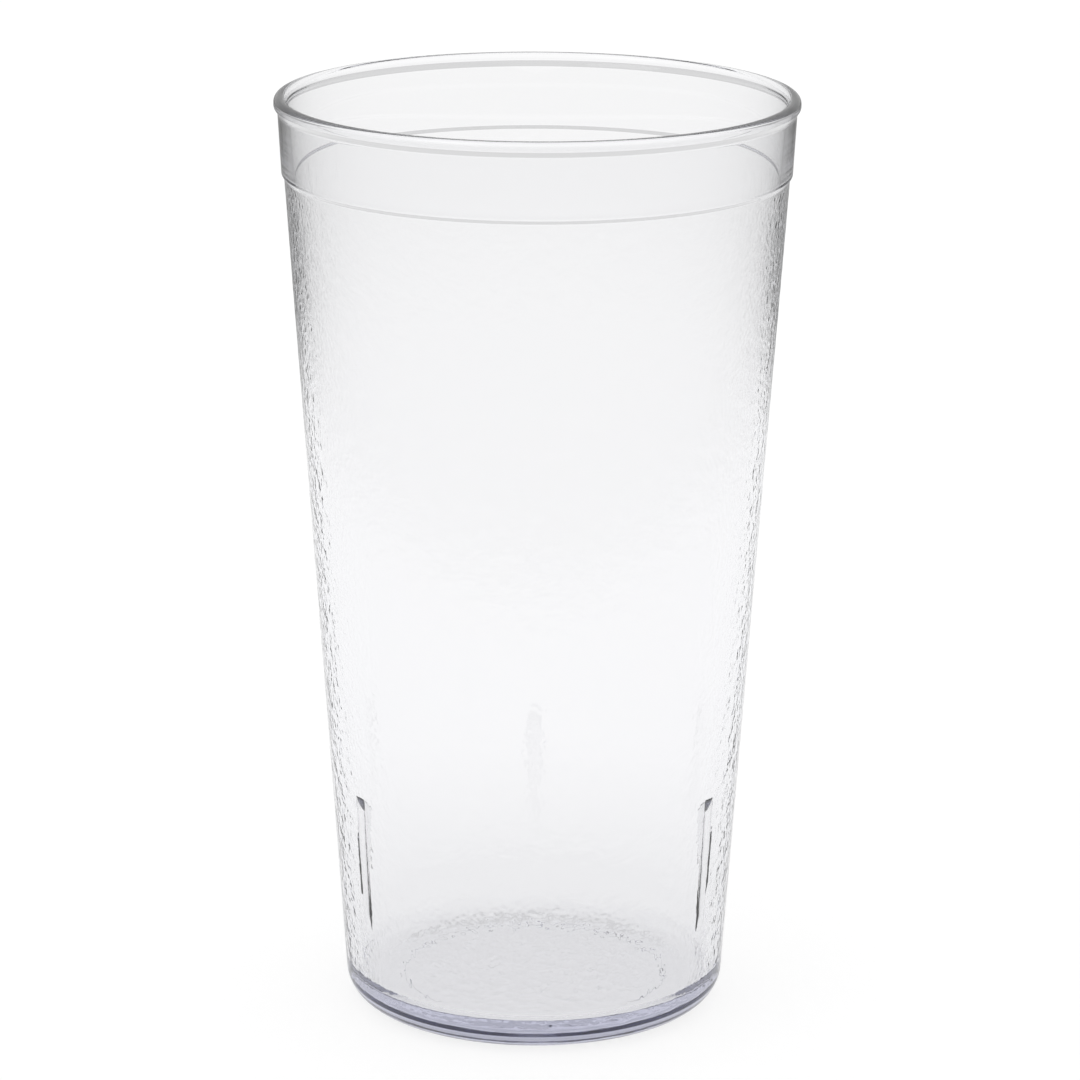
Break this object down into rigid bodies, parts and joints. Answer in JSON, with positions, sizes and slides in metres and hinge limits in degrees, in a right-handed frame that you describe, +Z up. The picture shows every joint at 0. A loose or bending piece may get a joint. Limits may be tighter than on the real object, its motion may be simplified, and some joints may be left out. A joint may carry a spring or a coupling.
{
  "type": "plastic drinking tumbler",
  "caption": "Clear tapered drinking tumbler moulded in one piece, with a beaded lip, a plain band, a pebbled body, a thick floor and upright stacking ribs inside.",
  "frame": {"origin": "middle of the circle that the tumbler stands on", "axes": "+Z up along the tumbler's axis to the mouth; +Y towards one of the three stacking ribs, away from the picture's camera"},
  "size_m": [0.089, 0.089, 0.16],
  "materials": {
    "clear_plastic": "clear, colourless, polished inside, finely pebbled outside below the plain band"
  },
  "bodies": {
    "root": {"tumbler": "clear_plastic"}
  },
  "joints": []
}
